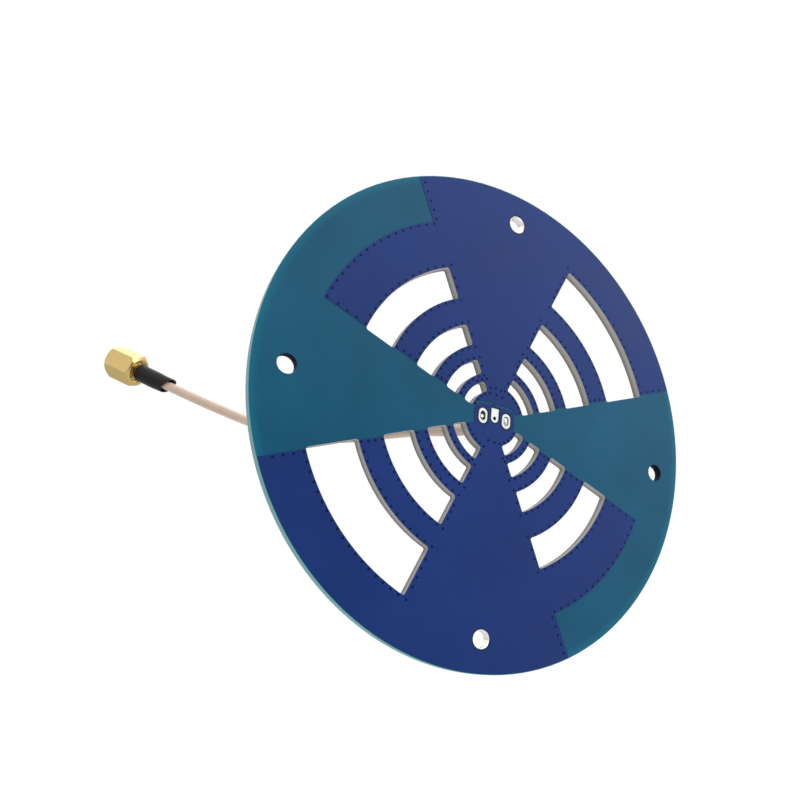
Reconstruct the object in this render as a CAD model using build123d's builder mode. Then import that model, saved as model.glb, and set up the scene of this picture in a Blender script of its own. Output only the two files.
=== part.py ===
from build123d import *

import os
from math import asin, cos, degrees, pi, radians, sin, tan

# A planar toothed antenna: two bow-tie wings with arc teeth on a round printed board,
# fed at the centre by a thin coaxial pigtail that ends in a screw-on plug.
# Millimetres. The front faces -Y, +Z is up and the origin is the centre of the ring
# of mounting holes, on the board's back face.

# Board
board_radius = 46.0
board_thick = 1.6
copper_thick = 0.07
copper_margin = 0.2

# Tooth pattern: on one side of a wing, edge radii fall by radius_ratio from one tooth to
# the next, and tooth_share is the inner over the outer radius of the outermost tooth
radius_ratio = 0.6185
tooth_share = 0.813
teeth_start = 20.5
teeth_end = 65.0
slots_per_side = 4
slot_grow = 0.3
slot_corner = 0.5

# Mounting holes, at these angles from +X towards +Z
hole_rim_distance = 6.0
hole_ring_radius = board_radius - hole_rim_distance
hole_radius = 1.7
upper_hole_angle = 86.5
lower_hole_angle = 270.0
left_hole_angle = 180.0
right_hole_angle = -3.5

# Feed pads
pad_pitch = 2.54
pad_thick = 0.08
pad_plating = 0.08
pad_gap = 0.12
ground_pad_width = 1.9
ground_pad_height = 2.9
ground_hole_width = 1.1
ground_hole_height = 1.8
centre_pad_width = 1.65
centre_pad_top = 1.9
centre_hole_radius = 0.35
feed_land_margin = 0.9
feed_land_corner = 1.6
feed_land_gap = 0.4
feed_neck_width = 1.1
feed_neck_gap = 0.25

# Coaxial cable
jacket_radius = 1.25
braid_radius = 1.05
dielectric_radius = 0.76
conductor_radius = 0.255
braid_bare = 1.8
dielectric_bare = 0.7
conductor_sunk = 0.6

# Shield leads and solder at the feed
lead_radius = 0.3
lead_rise = 0.75
lead_bend = 0.7
lead_sunk = 0.2
solder_height = 0.75
solder_foot = 0.85
solder_tip = 0.08
left_fill_depth = 0.9
right_fill_depth = 1.35
centre_solder_height = 0.36
centre_solder_foot = 0.7
collar_wall = 0.35
collar_start = 1.45
collar_end = 2.6

# Route of the cable behind the board, chosen by hand
route = [
    (0, 3.0, 0),
    (0, 8.0, 0),
    (-3.2, 22.5, 3.2),
    (-13.0, 40.0, 3.0),
    (-20.4, 60.0, 7.6),
    (-32.7, 80.7, 16.8),
    (-47.0, 93.2, 25.0),
]
run_share = 0.45

# Plug, in distances along its axis from the end of the cable's jacket
post_radius = 1.2
post_bore_clearance = 0.04
braid_fold = 0.4
ferrule_wall = 0.35
ferrule_lap = 0.6
ferrule_end_gap = 0.05
shrink_wall = 0.4
shrink_overhang = 4.9
shrink_slant = 28.0
shrink_mouth_bore = 1.82
shrink_taper = 2.5
shrink_nut_gap = 0.4
nut_start = 5.3
nut_length = 9.3
nut_flats = 8.0
nut_rear_radius = 3.5
nut_rear_chamfer = 0.9
nut_front_radius = 3.35
nut_front_chamfer = 1.3
nut_rear_bore = 2.6
nut_rear_bore_length = 3.6
nut_countersink = 0.6
nut_relief_radius = 3.2
nut_relief_length = 2.4
nut_groove_start = 2.0
nut_groove_width = 1.0
nut_groove_radius = 3.05
thread_radius = 2.79
thread_lead_in = 0.4
body_sunk = 0.9
body_shoulder_length = 3.0
body_running_clearance = 0.08
body_flange_radius = 2.9
body_flange_length = 1.0
reference_depth = 7.3
contact_radius = 2.27
contact_wall = 0.22
insulator_depth = 3.3
insulator_clearance = 0.02
ring_groove_start = 2.2
ring_groove_width = 0.6
ring_groove_radius = 2.12
ring_thick = 0.5
ring_radius = 2.95
ring_split = 1.0
ring_clearance = 0.02
gasket_thick = 0.8
gasket_radius = 2.65
gasket_clearance = 0.02
pin_radius = 0.46
pin_shank_radius = 0.63
pin_start = 1.7
pin_end = 8.9
pin_tip_length = 0.4
pin_tip_radius = 0.2
pin_cup_depth = 1.2
pin_clearance = 0.02

front_face = Plane.XZ.offset(board_thick)
back_face = Plane.XZ
gap_edge = tooth_share * board_radius
tooth_edge = radius_ratio * board_radius


def polar(radius, angle):
    """A point on the board, from its radius and its angle in degrees."""
    return (radius * cos(radians(angle)), radius * sin(radians(angle)))


def ring_sector(outer, inner, start, end, grow=0.0, corner=0.0):
    """A piece of a ring between two angles, grown outwards on all four sides."""
    far = outer + grow
    near = inner - grow
    far_turn = degrees(asin(grow / far))
    near_turn = degrees(asin(grow / near))
    middle = (start + end) / 2
    far_start = polar(far, start - far_turn)
    far_end = polar(far, end + far_turn)
    near_start = polar(near, start - near_turn)
    near_end = polar(near, end + near_turn)
    with BuildSketch(Plane.XY) as sector:
        with BuildLine():
            ThreePointArc(far_start, polar(far, middle), far_end)
            Line(far_end, near_end)
            ThreePointArc(near_end, polar(near, middle), near_start)
            Line(near_start, far_start)
        make_face()
        if corner:
            fillet(sector.vertices(), corner)
    return sector.sketch


def slot_sectors():
    """Outer radius, inner radius, start and end of every gap between two teeth."""
    for step in range(slots_per_side):
        shrink = radius_ratio**step
        right = (gap_edge * shrink, tooth_edge * shrink)
        left = (tooth_edge * shrink, gap_edge * shrink * radius_ratio)
        yield *right, teeth_start, teeth_end
        yield *left, 180 - teeth_end, 180 - teeth_start


def cut_slots(corner=0.0):
    """Cuts every slot out of the sketch that is open, in both halves of the board."""
    for outer, inner, start, end in slot_sectors():
        slot = ring_sector(outer, inner, start, end, slot_grow, corner)
        with Locations(Rotation(0, 0, 0), Rotation(0, 0, 180)):
            add(slot, mode=Mode.SUBTRACT)


def cut_mounting_holes():
    """Cuts the four mounting holes out of the sketch that is open."""
    for angle in (upper_hole_angle, lower_hole_angle, left_hole_angle, right_hole_angle):
        with Locations(polar(hole_ring_radius, angle)):
            Circle(hole_radius, mode=Mode.SUBTRACT)


def upright_slot(height, width, offset_x, grow):
    """An upright oblong, grown outwards all round."""
    with BuildSketch(Plane.XY) as oblong:
        with Locations((offset_x, 0)):
            SlotOverall(height + 2 * grow, width + 2 * grow, rotation=90)
    return oblong.sketch


def ground_pad(side, grow=0.0):
    """The outline of the left (-1) or right (1) ground pad."""
    return upright_slot(ground_pad_height, ground_pad_width, side * pad_pitch, grow)


def ground_hole(side, grow=0.0):
    """The outline of the hole in the left (-1) or right (1) ground pad."""
    return upright_slot(ground_hole_height, ground_hole_width, side * pad_pitch, grow)


def centre_pad(grow=0.0):
    """The outline of the centre pad: round below, square above."""
    half = centre_pad_width / 2 + grow
    with BuildSketch(Plane.XY) as pad:
        Circle(half)
        with Locations((0, (centre_pad_top + grow) / 2)):
            Rectangle(2 * half, centre_pad_top + grow)
    return pad.sketch


def centre_hole(grow=0.0):
    """The outline of the hole in the centre pad."""
    with BuildSketch(Plane.XY) as hole:
        Circle(centre_hole_radius + grow)
    return hole.sketch


def feed_land(grow=0.0):
    """The rounded patch of copper round the feed pads that belongs to the lower wing."""
    half = pad_pitch + ground_pad_width / 2 + feed_land_margin + grow
    top = ground_pad_height / 2 + feed_land_margin + grow
    with BuildSketch(Plane.XY) as land:
        RectangleRounded(2 * half, 2 * top, feed_land_corner + grow)
    return land.sketch


def feed_neck(grow=0.0):
    """The strip of copper from the centre pad up to the upper wing."""
    start = centre_pad_top + pad_gap
    end = ground_pad_height / 2 + feed_land_margin + 2 * feed_land_gap
    with BuildSketch(Plane.XY) as neck:
        with Locations((0, (start + end) / 2)):
            Rectangle(feed_neck_width + 2 * grow, end - start)
    return neck.sketch


def wing_outline():
    """Copper of the upper wing with its teeth, before slots and holes are cut."""
    copper_radius = board_radius - copper_margin
    start = polar(copper_radius, teeth_start)
    end = polar(copper_radius, 180 - teeth_start)
    with BuildSketch(Plane.XY) as wing:
        with BuildLine():
            Line((0, 0), start)
            ThreePointArc(start, (0, copper_radius), end)
            Line(end, (0, 0))
        make_face()
        # on the left the outermost gap between teeth runs out over the rim and has no slot
        add(ring_sector(board_radius + 1, gap_edge, 180 - teeth_end, 181 - teeth_start), mode=Mode.SUBTRACT)
    return wing.sketch


def copper_layer(plane, amount, upper):
    """The copper of one wing on one face of the board, made in the part that is open."""
    with BuildSketch(plane) as layer:
        if upper:
            add(wing_outline())
            add(feed_land(feed_land_gap), mode=Mode.SUBTRACT)
            add(feed_neck())
        else:
            with Locations(Rotation(0, 0, 180)):
                add(wing_outline())
            add(feed_land())
            add(feed_neck(feed_neck_gap), mode=Mode.SUBTRACT)
            add(centre_pad(pad_gap), mode=Mode.SUBTRACT)
            add(ground_pad(-1, pad_gap), mode=Mode.SUBTRACT)
            add(ground_pad(1, pad_gap), mode=Mode.SUBTRACT)
        cut_slots()
        cut_mounting_holes()
    extrude(layer.sketch, amount=amount)


def plate(outline, start, thickness, mode=Mode.ADD):
    """Extrudes an outline towards the front, from a distance behind the board's back face."""
    with BuildSketch(back_face.offset(-start)) as layer:
        add(outline)
    extrude(layer.sketch, amount=thickness, mode=mode)


def turned(profile, plane, axis, mode=Mode.ADD):
    """Turns a closed outline of (radius, distance) points about an axis."""
    with BuildSketch(plane) as outline:
        with BuildLine():
            Polyline(*profile, close=True)
        make_face()
    revolve(outline.sketch, axis=axis, mode=mode)


def tube(outer, inner, start, end):
    """The outline of a tube, or of a rod where the inner radius is nought."""
    return [(inner, start), (outer, start), (outer, end), (inner, end)]


def rod(line, radius):
    """A round rod along joined straight lines and arcs, made in the part that is open."""
    for edge in line.edges():
        with BuildSketch(Plane(edge @ 0, z_dir=edge % 0)) as section:
            Circle(radius)
        if edge.geom_type == GeomType.LINE:
            extrude(section.sketch, amount=edge.length)
        else:
            bend_axis = Axis(edge.arc_center, (edge @ 0 - edge.arc_center).cross(edge % 0))
            revolve(section.sketch, axis=bend_axis, revolution_arc=degrees(edge.length / edge.radius))


# Board
with BuildPart() as board_laminate:
    with BuildSketch(back_face):
        Circle(board_radius)
        cut_slots(slot_corner)
        cut_mounting_holes()
        add(ground_hole(-1, pad_plating), mode=Mode.SUBTRACT)
        add(ground_hole(1, pad_plating), mode=Mode.SUBTRACT)
        add(centre_hole(pad_plating), mode=Mode.SUBTRACT)
    extrude(amount=board_thick)

with BuildPart() as front_upper_copper:
    copper_layer(front_face, copper_thick, upper=True)

with BuildPart() as front_lower_copper:
    copper_layer(front_face, copper_thick, upper=False)

with BuildPart() as back_upper_copper:
    copper_layer(back_face, -copper_thick, upper=True)

with BuildPart() as back_lower_copper:
    copper_layer(back_face, -copper_thick, upper=False)


def plated_pad(outline, hole, hole_wall):
    """A pad on both faces with a plated hole, made in the part that is open."""
    plate(outline, pad_thick, pad_thick)
    plate(outline, -board_thick, pad_thick)
    plate(hole_wall, 0, board_thick)
    plate(hole, pad_thick, board_thick + 2 * pad_thick, mode=Mode.SUBTRACT)


with BuildPart() as left_ground_pad:
    plated_pad(ground_pad(-1), ground_hole(-1), ground_hole(-1, pad_plating))

with BuildPart() as right_ground_pad:
    plated_pad(ground_pad(1), ground_hole(1), ground_hole(1, pad_plating))

with BuildPart() as centre_feed_pad:
    plated_pad(centre_pad(), centre_hole(), centre_hole(pad_plating))


# End of the cable at the board, turned about the Y axis
jacket_start = route[0][1]
braid_start = jacket_start - braid_bare
dielectric_start = braid_start - dielectric_bare
conductor_start = conductor_sunk - board_thick

with BuildPart() as feed_braid:
    turned(tube(braid_radius, dielectric_radius, braid_start, jacket_start), Plane.XY, Axis.Y)

with BuildPart() as feed_dielectric:
    turned(tube(dielectric_radius, conductor_radius, dielectric_start, jacket_start), Plane.XY, Axis.Y)

with BuildPart() as feed_conductor:
    turned(tube(conductor_radius, 0, conductor_start, jacket_start), Plane.XY, Axis.Y)


def shield_lead(side):
    """A strand of the braid from its solder collar into a ground pad, in the part that is open."""
    height = braid_start + lead_rise
    collar_radius = braid_radius + collar_wall
    with BuildLine() as path:
        Polyline(
            (side * collar_radius, height, 0),
            (side * (pad_pitch - lead_bend), height, 0),
            (side * pad_pitch, height - lead_bend, 0),
            (side * pad_pitch, lead_sunk - board_thick, 0),
        )
    with BuildSketch(Plane(path.line @ 0, z_dir=path.line % 0)) as section:
        Circle(lead_radius)
    sweep(section.sketch, path=path.wire(), transition=Transition.RIGHT)


with BuildPart() as left_shield_lead:
    shield_lead(-1)

with BuildPart() as right_shield_lead:
    shield_lead(1)


def lead_solder(side, fill_depth, lead):
    """Solder that fills a ground pad's hole from behind and rises round its lead."""
    with BuildSketch(Plane.XY) as cone:
        with BuildLine():
            Polyline(
                (0, pad_thick),
                (solder_foot, pad_thick),
                (lead_radius + solder_tip, solder_height),
                (0, solder_height),
                close=True,
            )
        make_face()
    with Locations((side * pad_pitch, 0, 0)):
        add(revolve(cone.sketch, axis=Axis.Y, mode=Mode.PRIVATE))
    plate(ground_hole(side), pad_thick, pad_thick + fill_depth)
    add(lead.part, mode=Mode.SUBTRACT)


with BuildPart() as left_solder:
    lead_solder(-1, left_fill_depth, left_shield_lead)

with BuildPart() as right_solder:
    lead_solder(1, right_fill_depth, right_shield_lead)

with BuildPart() as centre_solder:
    cone = [
        (conductor_radius, pad_thick),
        (centre_solder_foot, pad_thick),
        (conductor_radius + solder_tip, centre_solder_height),
        (conductor_radius, centre_solder_height),
    ]
    turned(cone, Plane.XY, Axis.Y)
    turned(tube(centre_hole_radius, conductor_radius, conductor_start, pad_thick), Plane.XY, Axis.Y)

with BuildPart() as braid_solder:
    collar = [
        (braid_radius, collar_start),
        (braid_radius + collar_wall, collar_start),
        (braid_radius + collar_wall, collar_end - collar_wall),
        (braid_radius, collar_end),
    ]
    turned(collar, Plane.XY, Axis.Y)

# Cable
corner_radii = []
for before, corner, after in zip(route, route[1:], route[2:]):
    run_in = Vector(corner) - Vector(before)
    run_out = Vector(after) - Vector(corner)
    half_turn = radians(run_in.get_angle(run_out) / 2)
    corner_radii.append(run_share * min(run_in.length, run_out.length) / tan(half_turn))
print("cable corner radii", [round(radius, 1) for radius in corner_radii])

with BuildPart() as coax_cable:
    with BuildLine() as cable_line:
        FilletPolyline(*route, radius=corner_radii)
    rod(cable_line.line, jacket_radius)
cable_length = cable_line.wire().length
print("cable length", round(cable_length, 1))
cable_volume = pi * jacket_radius**2 * cable_length
print("cable volume", coax_cable.part.volume, "section times length", cable_volume)

# Plug, turned about an axis that carries the cable's last run on
plug_direction = (Vector(route[-1]) - Vector(route[-2])).normalized()
plug_frame = Plane(route[-1], x_dir=(0, 0, 1), z_dir=plug_direction)
plug_section = Plane(route[-1], x_dir=plug_frame.x_dir, z_dir=-plug_frame.y_dir)
plug_axis = Axis(route[-1], plug_direction)

body_start = nut_start + body_sunk
shoulder_end = body_start + body_shoulder_length
flange_end = shoulder_end + body_flange_length
contact_end = nut_start + reference_depth
insulator_start = nut_start + insulator_depth
pin_shank_start = nut_start + pin_start
body_shoulder_radius = nut_rear_bore - body_running_clearance
post_bore = dielectric_radius + post_bore_clearance
contact_bore = contact_radius - contact_wall
ferrule_bore = post_radius + braid_fold
ferrule_radius = ferrule_bore + ferrule_wall
ferrule_end = body_start - ferrule_end_gap


def plug_turned(profile, mode=Mode.ADD):
    """Turns an outline of (radius, distance) points about the plug's axis."""
    turned(profile, plug_section, plug_axis, mode)


with BuildPart() as plug_body:
    plug_turned(
        [
            (post_bore, 0),
            (post_radius, 0),
            (post_radius, body_start),
            (body_shoulder_radius, body_start),
            (body_shoulder_radius, nut_start + ring_groove_start),
            (ring_groove_radius, nut_start + ring_groove_start),
            (ring_groove_radius, nut_start + ring_groove_start + ring_groove_width),
            (body_shoulder_radius, nut_start + ring_groove_start + ring_groove_width),
            (body_shoulder_radius, shoulder_end),
            (body_flange_radius, shoulder_end),
            (body_flange_radius, flange_end),
            (contact_radius, flange_end),
            (contact_radius, contact_end),
            (contact_bore, contact_end),
            (contact_bore, insulator_start),
            (post_bore, insulator_start),
        ]
    )

with BuildPart() as insulator:
    insulator_radius = contact_bore - insulator_clearance
    insulator_bore = pin_shank_radius + pin_clearance
    plug_turned(tube(insulator_radius, insulator_bore, insulator_start, contact_end))

with BuildPart() as centre_pin:
    plug_turned(
        [
            (0, pin_shank_start),
            (pin_shank_radius, pin_shank_start),
            (pin_shank_radius, contact_end),
            (pin_radius, contact_end),
            (pin_radius, nut_start + pin_end - pin_tip_length),
            (pin_tip_radius, nut_start + pin_end),
            (0, nut_start + pin_end),
        ]
    )
    cup = tube(conductor_radius, 0, pin_shank_start, pin_shank_start + pin_cup_depth)
    plug_turned(cup, mode=Mode.SUBTRACT)

with BuildPart() as plug_conductor:
    plug_turned(tube(conductor_radius, 0, 0, pin_shank_start + pin_cup_depth))

with BuildPart() as plug_dielectric:
    plug_turned(tube(dielectric_radius, conductor_radius, 0, pin_shank_start))

with BuildPart() as crimped_braid:
    plug_turned(tube(ferrule_bore, post_radius, 0, ferrule_end))

with BuildPart() as crimp_ferrule:
    plug_turned(tube(ferrule_radius, ferrule_bore, -ferrule_lap, ferrule_end))

with BuildPart() as heat_shrink:
    shrink_end = nut_start - shrink_nut_gap
    taper_end = -ferrule_lap
    shrink_tip = -shrink_overhang - ferrule_radius
    plug_turned(
        [
            (shrink_mouth_bore, shrink_tip),
            (shrink_mouth_bore + shrink_wall, shrink_tip),
            (shrink_mouth_bore + shrink_wall, taper_end - shrink_taper),
            (ferrule_radius + shrink_wall, taper_end),
            (ferrule_radius + shrink_wall, shrink_end),
            (ferrule_radius, shrink_end),
            (ferrule_radius, taper_end),
            (shrink_mouth_bore, taper_end - shrink_taper),
        ]
    )
    # its open end was cut on the slant and reaches furthest on top
    mouth_middle = plug_frame.offset(-shrink_overhang).origin
    mouth_direction = plug_frame.z_dir + plug_frame.x_dir * tan(radians(shrink_slant))
    with BuildSketch(Plane(mouth_middle, x_dir=plug_frame.y_dir, z_dir=mouth_direction)) as mouth:
        Circle(2 * ferrule_radius)
    extrude(mouth.sketch, amount=-2 * ferrule_radius, mode=Mode.SUBTRACT)

with BuildPart() as retaining_ring:
    ring_middle = nut_start + ring_groove_start + ring_groove_width / 2
    ring_bore = ring_groove_radius + ring_clearance
    plug_turned(tube(ring_radius, ring_bore, ring_middle - ring_thick / 2, ring_middle + ring_thick / 2))
    with BuildSketch(plug_frame.offset(ring_middle)) as split:
        with Locations((ring_radius, 0)):
            Rectangle(2 * (ring_radius - ring_bore) + ring_split, ring_split)
    extrude(split.sketch, amount=ring_thick, both=True, mode=Mode.SUBTRACT)

with BuildPart() as gasket:
    gasket_bore = contact_radius + gasket_clearance
    plug_turned(tube(gasket_radius, gasket_bore, flange_end, flange_end + gasket_thick))

with BuildPart() as coupling_nut:
    with BuildSketch(plug_frame.offset(nut_start)) as hexagon:
        RegularPolygon(nut_flats / 2, 6, major_radius=False)
    extrude(hexagon.sketch, amount=nut_length)
    nut_corner = nut_flats / 2 / cos(radians(30))
    nut_end = nut_start + nut_length
    plug_turned(
        [
            (0, nut_start),
            (nut_rear_radius, nut_start),
            (nut_corner, nut_start + nut_rear_chamfer),
            (nut_corner, nut_end - nut_front_chamfer),
            (nut_front_radius, nut_end),
            (0, nut_end),
        ],
        mode=Mode.INTERSECT,
    )
    rear_bore_end = nut_start + nut_rear_bore_length
    relief_end = rear_bore_end + nut_relief_length
    plug_turned(tube(nut_rear_bore, 0, nut_start, rear_bore_end), mode=Mode.SUBTRACT)
    plug_turned(tube(nut_relief_radius, 0, rear_bore_end, relief_end), mode=Mode.SUBTRACT)
    plug_turned(tube(thread_radius, 0, relief_end, nut_end), mode=Mode.SUBTRACT)
    lead_in = [
        (0, nut_end - thread_lead_in),
        (thread_radius, nut_end - thread_lead_in),
        (thread_radius + thread_lead_in, nut_end),
        (0, nut_end),
    ]
    plug_turned(lead_in, mode=Mode.SUBTRACT)
    countersink = [
        (0, nut_start),
        (nut_rear_bore + nut_countersink, nut_start),
        (nut_rear_bore, nut_start + nut_countersink),
        (0, nut_start + nut_countersink),
    ]
    plug_turned(countersink, mode=Mode.SUBTRACT)
    groove_start = nut_start + nut_groove_start
    groove = tube(nut_groove_radius, 0, groove_start, groove_start + nut_groove_width)
    plug_turned(groove, mode=Mode.SUBTRACT)

pieces = {
    "board_laminate": board_laminate,
    "front_upper_copper": front_upper_copper,
    "front_lower_copper": front_lower_copper,
    "back_upper_copper": back_upper_copper,
    "back_lower_copper": back_lower_copper,
    "left_ground_pad": left_ground_pad,
    "right_ground_pad": right_ground_pad,
    "centre_feed_pad": centre_feed_pad,
    "left_shield_lead": left_shield_lead,
    "right_shield_lead": right_shield_lead,
    "left_solder": left_solder,
    "right_solder": right_solder,
    "centre_solder": centre_solder,
    "braid_solder": braid_solder,
    "feed_braid": feed_braid,
    "feed_dielectric": feed_dielectric,
    "feed_conductor": feed_conductor,
    "coax_cable": coax_cable,
    "heat_shrink": heat_shrink,
    "crimp_ferrule": crimp_ferrule,
    "crimped_braid": crimped_braid,
    "plug_dielectric": plug_dielectric,
    "plug_conductor": plug_conductor,
    "plug_body": plug_body,
    "insulator": insulator,
    "centre_pin": centre_pin,
    "retaining_ring": retaining_ring,
    "gasket": gasket,
    "coupling_nut": coupling_nut,
}
os.makedirs("parts", exist_ok=True)
for name, piece in pieces.items():
    piece.part.label = name
    export_step(piece.part, f"parts/{name}.step")
    print(name, len(piece.part.solids()), round(piece.part.volume, 3))
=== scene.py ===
import math

import bpy
from bpy.props import FloatProperty, FloatVectorProperty, IntProperty, PointerProperty
from mathutils import Matrix, Vector


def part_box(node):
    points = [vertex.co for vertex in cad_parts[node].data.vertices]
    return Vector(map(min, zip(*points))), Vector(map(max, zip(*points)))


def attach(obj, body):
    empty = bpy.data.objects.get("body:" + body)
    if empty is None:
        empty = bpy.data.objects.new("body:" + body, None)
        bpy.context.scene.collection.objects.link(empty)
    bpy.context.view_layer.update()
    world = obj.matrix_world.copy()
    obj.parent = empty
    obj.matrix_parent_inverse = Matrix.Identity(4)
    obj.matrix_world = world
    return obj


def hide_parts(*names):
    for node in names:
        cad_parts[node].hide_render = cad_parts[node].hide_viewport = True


bl_info = {
    "name": "Toothed board antenna",
    "version": (1, 0, 0),
    "blender": (4, 5, 0),
    "location": "3D View > Sidebar > Antenna",
    "description": "Dresses a round toothed antenna board and its coaxial pigtail",
    "category": "Object",
}

MM = 0.001
# Specular level of the solder mask, which throws back less of the studio than bare plastic
MASK_SHINE = 0.08
# Corners closer than this are one, in a copy of a CAD node and in a new shape
CAD_MERGE = 0.000001
OWN_MERGE = 0.0000005

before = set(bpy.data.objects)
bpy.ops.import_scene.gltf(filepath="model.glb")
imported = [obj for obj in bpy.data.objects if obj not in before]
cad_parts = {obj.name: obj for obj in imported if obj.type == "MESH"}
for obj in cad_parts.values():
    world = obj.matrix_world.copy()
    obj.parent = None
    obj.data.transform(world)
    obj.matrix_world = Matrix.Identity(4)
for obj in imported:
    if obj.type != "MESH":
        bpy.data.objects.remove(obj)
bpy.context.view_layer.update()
board_low, board_high = (Vector(corner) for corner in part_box("board_laminate"))

# Route of the cable: the control points of its spline
cable_route = [
    (0, 0.003, 0),
    (0, 0.008, 0),
    (-0.0032, 0.0225, 0.0032),
    (-0.013, 0.040, 0.003),
    (-0.0204, 0.060, 0.0076),
    (-0.0327, 0.0807, 0.0168),
    (-0.047, 0.0932, 0.025),
]

# Angles of the mounting holes on their ring, in degrees up from the right-hand side
PLATED_HOLES = (86.5, 270)
BARE_HOLES = (180, -3.5)
# Arcs of stitching holes round the feed: share of the rows' radius, first and last angle, holes
FEED_ROWS = ((1.0, 73, 104, 3), (1.28, 67, 103, 4), (1.0, -104, -50, 4), (1.25, -124, -110, 2))
COPPER_NODES = ("front_upper_copper", "front_lower_copper", "back_upper_copper", "back_lower_copper")
PAD_NODES = ("left_ground_pad", "right_ground_pad", "centre_feed_pad")

# What fills a pad's hole: share of the hole's width, and millimetres forwards from the board's back
HOLLOW_SOLDER = ((1.01, -0.05), (1.01, 1.0), (0.92, 0.9), (0.72, 0.84), (0.4, 0.82), (0.03, 0.82))
DOMED_SOLDER = (
    *((1.01, -0.05), (1.01, 1.3), (0.92, 1.45), (0.75, 1.54)),
    *((0.5, 1.6), (0.25, 1.635), (0.03, 1.645)),
)
CENTRE_SOLDER = ((1.01, -0.05), (1.01, 0.95), (0.8, 1.0), (0.03, 1.02))
FLUX_FILM = ((0.98, 0.7), (1.005, 1.15), (0.93, 1.02), (0.75, 0.95), (0.55, 0.92), (0.03, 0.92))
# painted shade: a near-black cup deep in the centre pad's hole, where the hole's shadow falls
CENTRE_HOLE_SHADE = ((0.98, 0.9), (0.99, 1.45), (0.86, 1.3), (0.6, 1.2), (0.03, 1.18))
# Round solder behind the board: its radius and its distance from the board's back, in millimetres
GROUND_SKIRT = (
    *((0.28, 0.05), (0.85, 0.078), (0.86, 0.1), (0.7, 0.13), (0.56, 0.2)),
    *((0.46, 0.32), (0.4, 0.48), (0.36, 0.66), (0.325, 0.8), (0.28, 0.82)),
)
CENTRE_SKIRT = (
    *((0.2, 0.05), (0.7, 0.078), (0.71, 0.1), (0.54, 0.13)),
    *((0.41, 0.19), (0.33, 0.28), (0.28, 0.4), (0.2, 0.42)),
)
COLLAR = (
    *((1.0, 1.42), (1.22, 1.44), (1.36, 1.55), (1.41, 1.75), (1.39, 2.02)),
    *((1.29, 2.28), (1.16, 2.48), (1.08, 2.6), (1.0, 2.61)),
)
# A twisted lead's way from the braid into its pad: millimetres sideways and backwards
LEAD_BEND = ((1.1, 1.95), (1.84, 1.95), (2.42, 1.9), (2.54, 1.3), (2.54, 0.5), (2.54, -0.4), (2.54, -1.4))

# The photo's camera, fitted to the board's outline, its holes, its slots and its pads
CAMERA_PLACE = (-0.07445, -0.11363, -0.04654)
CAMERA_RIGHT = (0.88109, -0.46578, 0.08203)
CAMERA_UP = (-0.15987, -0.13009, 0.97853)


# Settings


def number_setting(name, description, default, **kind):
    return FloatProperty(name=name, description=description, default=default, **kind)


def length_setting(name, description, default):
    return number_setting(name, description, default, unit="LENGTH")


def colour_setting(name, description, default):
    return FloatVectorProperty(name=name, description=description, default=default, subtype="COLOR")


class ANTENNA_PG_pattern(bpy.types.PropertyGroup):
    """Sizes of the tooth pattern and of the holes that stitch its two copper faces."""

    radius_ratio: number_setting("Radius ratio", "Radius of a tooth over that of the next one out", 0.6185)
    tooth_share: number_setting("Tooth share", "Inner over outer radius of the outermost tooth", 0.813)
    teeth_start: number_setting(
        "Teeth start",
        "Angle of the teeth's tips above the board's cross axis",
        math.radians(20.5),
        subtype="ANGLE",
    )
    teeth_end: number_setting(
        "Teeth end",
        "Angle of the teeth's roots above the board's cross axis",
        math.radians(65),
        subtype="ANGLE",
    )
    slots: IntProperty(name="Slots", description="Slots on each side of a wing", default=4)
    slot_grow: length_setting("Slot growth", "Milled off past the gap between two teeth", 0.0003)
    stitch_radius: length_setting("Stitch radius", "Radius of a stitching hole under its mask", 0.00026)
    stitch_inset: length_setting("Stitch inset", "Stitching hole to copper edge", 0.00042)
    stitch_pitch: length_setting("Stitch pitch", "Between stitching holes beside the widest slots", 0.00172)
    stitch_ratio: number_setting("Stitch ratio", "Stitch pitch at a slot over that at the next one out", 0.86)
    feed_row_radius: length_setting("Feed row radius", "Of the stitching holes round the feed", 0.0045)
    mask_height: length_setting("Mask height", "Of the masked copper above bare board", 0.00007)
    hole_ring_radius: length_setting("Hole ring radius", "Of the ring of mounting holes", 0.04)
    hole_radius: length_setting("Hole radius", "Of a mounting hole", 0.0017)
    plating: length_setting("Plating", "Of the two plated mounting holes, drawn thick", 0.00003)


class ANTENNA_PG_feed(bpy.types.PropertyGroup):
    """Sizes of the soldered joints and of the stripped cable behind the feed pads."""

    pad_pitch: length_setting("Pad pitch", "From the centre pad to a ground pad", 0.00254)
    pad_width: length_setting("Pad width", "Of a ground pad", 0.0019)
    pad_height: length_setting("Pad height", "Of a ground pad", 0.0029)
    centre_width: length_setting("Centre pad width", "Of the pad in the middle", 0.00165)
    centre_top: length_setting("Centre pad top", "From the middle to the pad's flat top", 0.0019)
    bare_line: length_setting("Bare line", "That the mask leaves round a pad or a plated hole", 0.00024)
    # painted shade darkens the tin over this width at a pad's edge
    tin_edge_shade: length_setting("Tin edge", "Width over which the tin rounds off", 0.00018)
    hole_width: length_setting("Hole width", "Of the upright hole in a ground pad", 0.0011)
    hole_height: length_setting("Hole height", "Of the upright hole in a ground pad", 0.0018)
    centre_hole: length_setting("Centre hole", "Width of the hole in the centre pad", 0.0007)
    lead_radius: length_setting("Lead radius", "Of the braid's wires, twisted to a lead", 0.0003)
    lead_twist: number_setting("Lead twist", "Turn of a lead in one millimetre", 1.9, subtype="ANGLE")
    braid_radius: length_setting("Braid radius", "Outside of the cable's braid", 0.00105)
    braid_start: length_setting("Braid start", "From the board's back to the braid's end", 0.0012)
    braid_length: length_setting("Braid length", "Of the stripped braid up to the jacket", 0.0018)
    braid_turns: number_setting("Braid turns", "Turns of a braid wire on the stripped end", 0.33)
    wires: IntProperty(name="Wires", description="Braid wires that run round each way", default=16)
    wire_radius: length_setting("Wire radius", "Of one braid wire", 0.000045)


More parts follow.
